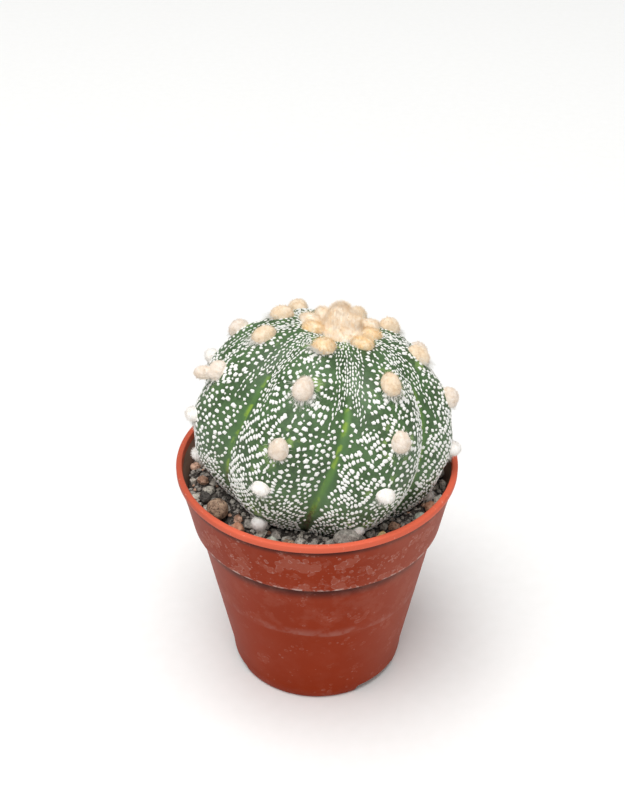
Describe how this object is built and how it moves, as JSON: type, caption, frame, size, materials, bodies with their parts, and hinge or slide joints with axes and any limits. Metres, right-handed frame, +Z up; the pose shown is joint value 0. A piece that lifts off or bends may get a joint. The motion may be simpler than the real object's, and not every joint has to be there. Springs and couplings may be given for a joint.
{
  "type": "potted round cactus",
  "caption": "Round ribbed cactus with white-flecked skin and woolly areoles, leaning a little in a small tapered plastic nursery pot of volcanic grit.",
  "frame": {"origin": "on the surface that the pot stands on, at the axis of the pot", "axes": "+Z up along the pot's axis, -Y towards the front, +X to the right seen from the front; the plant leans 10 degrees to +X and 9 degrees to +Y"},
  "size_m": [0.055, 0.055, 0.0818],
  "materials": {
    "pot_plastic": "brick red-brown moulded plastic, semi-matte, brighter orange-red on the lip, with pale limescale bloom on the collar",
    "soil": "dark grey crumbly volcanic grit, dry and matte",
    "cactus_skin": "dull green waxy skin, strewn with tiny white woolly scales, lighter bare strips along the grooves",
    "crown_wool": "peach-cream standing tuft of young plant wool",
    "areole_wool": "cream to beige felted plant wool",
    "dark_stone": "rough dark grey volcanic stone",
    "brown_stone": "porous brown and terracotta lava stone",
    "pale_stone": "pale grey-green and yellowish quartz chips"
  },
  "bodies": {
    "root": {"pot": "pot_plastic", "soil": "soil", "cactus_body": "cactus_skin", "crown_wool": "crown_wool", "areole_rib1_1": "areole_wool", "areole_rib1_2": "areole_wool", "areole_rib1_3": "areole_wool", "areole_rib1_4": "areole_wool", "areole_rib1_5": "areole_wool", "areole_rib2_1": "areole_wool", "areole_rib2_2": "areole_wool", "areole_rib2_3": "areole_wool", "areole_rib2_4": "areole_wool", "areole_rib2_5": "areole_wool", "areole_rib3_1": "areole_wool", "areole_rib3_2": "areole_wool", "areole_rib3_3": "areole_wool", "areole_rib3_4": "areole_wool", "areole_rib3_5": "areole_wool", "areole_rib4_1": "areole_wool", "areole_rib4_2": "areole_wool", "areole_rib4_3": "areole_wool", "areole_rib4_4": "areole_wool", "areole_rib4_5": "areole_wool", "areole_rib5_1": "areole_wool", "areole_rib5_2": "areole_wool", "areole_rib5_3": "areole_wool", "areole_rib5_4": "areole_wool", "areole_rib5_5": "areole_wool", "areole_rib6_1": "areole_wool", "areole_rib6_2": "areole_wool", "areole_rib6_3": "areole_wool", "areole_rib6_4": "areole_wool", "areole_rib6_5": "areole_wool", "areole_rib7_1": "areole_wool", "areole_rib7_2": "areole_wool", "areole_rib7_3": "areole_wool", "areole_rib7_4": "areole_wool", "areole_rib7_5": "areole_wool", "areole_rib8_1": "areole_wool", "areole_rib8_2": "areole_wool", "areole_rib8_3": "areole_wool", "areole_rib8_4": "areole_wool", "areole_rib8_5": "areole_wool", "lava_pebble_front_left": "brown_stone", "brown_grit_front_left": "brown_stone", "pale_chip_front_left": "pale_stone", "grey_flint_front": "dark_stone", "grey_stone_front_right": "dark_stone", "yellow_chip_front_right": "pale_stone", "pale_pebble_right": "pale_stone", "terracotta_grit_right": "brown_stone", "grey_pebble_right": "dark_stone", "dark_lava_back_right": "dark_stone", "grey_stone_back": "dark_stone", "brown_lava_back_left": "brown_stone", "pale_chip_left": "pale_stone", "dark_grit_front_left": "dark_stone"}
  },
  "joints": []
}
